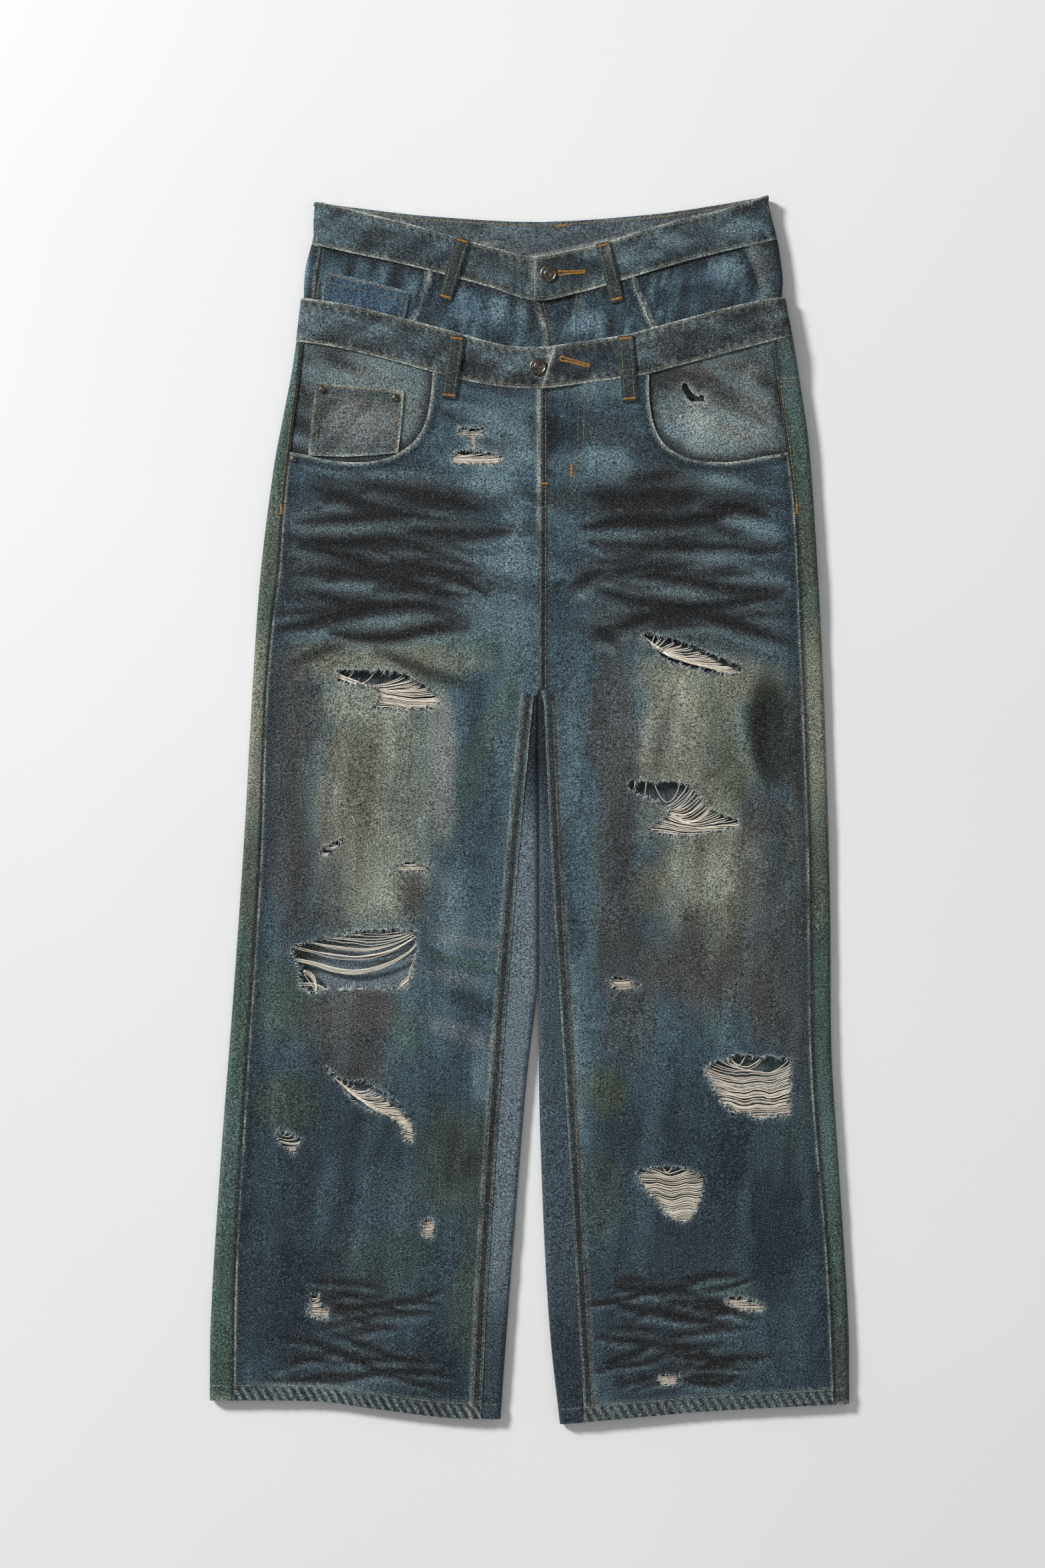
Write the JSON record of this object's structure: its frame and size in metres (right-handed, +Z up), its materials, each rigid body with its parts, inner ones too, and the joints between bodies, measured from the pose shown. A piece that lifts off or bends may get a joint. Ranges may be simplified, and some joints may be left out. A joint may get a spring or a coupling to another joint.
{
  "type": "ripped jeans laid flat",
  "caption": "Straight-leg ripped jeans with a double waist, laid flat, front up, with open legs and waist.",
  "frame": {"origin": "on the surface the garment lies on, under the middle of its outline", "axes": "+Y from the hems to the waist, +X to the wearer's left, +Z up off the surface through the front"},
  "size_m": [0.577, 1.107, 0.0193],
  "materials": {
    "denim": "washed and faded mid blue twill",
    "denim_waist": "dark washed twill",
    "denim_upper": "green-blue washed twill",
    "pocket_cloth": "pale washed twill",
    "gunmetal": "dark, tumbled"
  },
  "bodies": {
    "root": {"front_right": "denim", "front_left": "denim", "back_right": "denim", "back_left": "denim", "yoke_right": "denim", "yoke_left": "denim", "waistband_lower": "denim_waist", "waistband_upper": "denim_upper", "upper_front_right": "denim_upper", "upper_front_left": "denim_upper", "upper_back_right": "denim_upper", "upper_back_left": "denim_upper", "facing_lower_right": "pocket_cloth", "facing_lower_left": "pocket_cloth", "facing_upper_right": "pocket_cloth", "facing_upper_left": "pocket_cloth", "coin_pocket_lower": "denim", "coin_pocket_upper": "denim_upper", "loop_lower_right": "denim_waist", "loop_lower_left": "denim_waist", "loop_upper_right": "denim_upper", "loop_upper_left": "denim_upper", "loop_lower_back_right": "denim_waist", "loop_lower_back_centre": "denim_waist", "loop_lower_back_left": "denim_waist", "loop_upper_back_right": "denim_upper", "loop_upper_back_centre": "denim_upper", "loop_upper_back_left": "denim_upper", "back_pocket_right": "denim", "back_pocket_left": "denim", "button_upper": "gunmetal", "button_lower": "gunmetal", "rivet_pocket_right": "gunmetal", "rivet_pocket_left": "gunmetal", "rivet_coin_outer": "gunmetal", "rivet_coin_inner": "gunmetal"}
  },
  "joints": []
}
